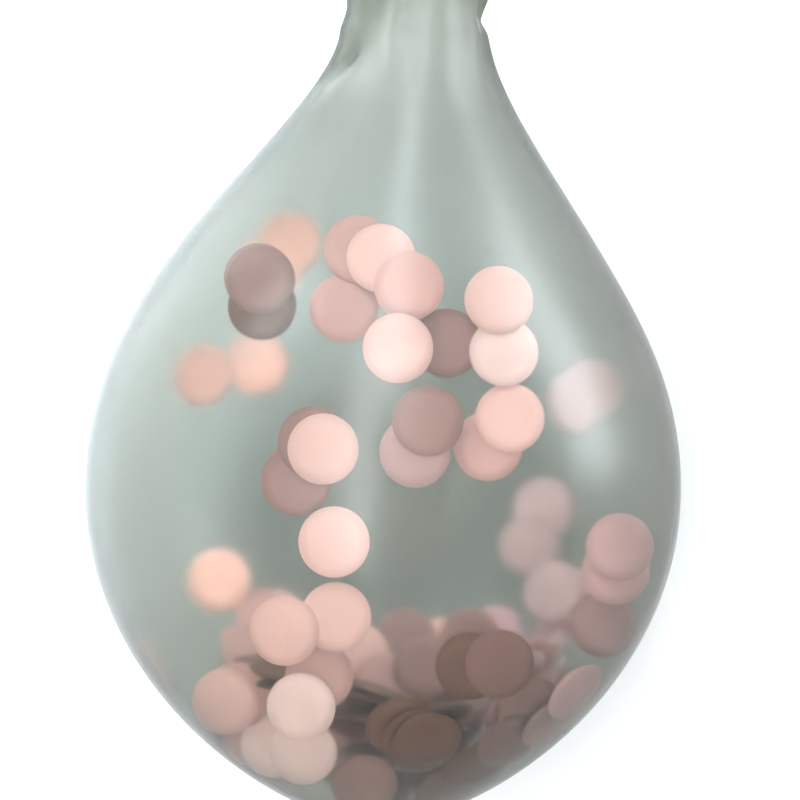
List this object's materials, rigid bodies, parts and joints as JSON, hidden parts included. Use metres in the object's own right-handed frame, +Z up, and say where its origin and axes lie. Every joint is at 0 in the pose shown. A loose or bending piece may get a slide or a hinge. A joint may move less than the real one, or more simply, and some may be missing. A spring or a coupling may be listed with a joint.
{
  "type": "confetti balloon",
  "caption": "Part-filled clear latex balloon with round paper confetti sealed in it, a teardrop with a slack gathered neck, knot and rolled lip, lying on its side.",
  "frame": {"origin": "on the surface the balloon lies on, under the centre of its box", "axes": "+Y along the balloon towards its neck and knot, +Z up, +X towards the side its neck leans to"},
  "size_m": [0.226, 0.3864, 0.223],
  "materials": {
    "latex": "thin clear latex with a milky pale sage haze and a soft satin sheen",
    "confetti_paper": "matt tissue paper discs in peach, blush and dusky rose"
  },
  "bodies": {
    "root": {"balloon": "latex"}
  },
  "joints": []
}
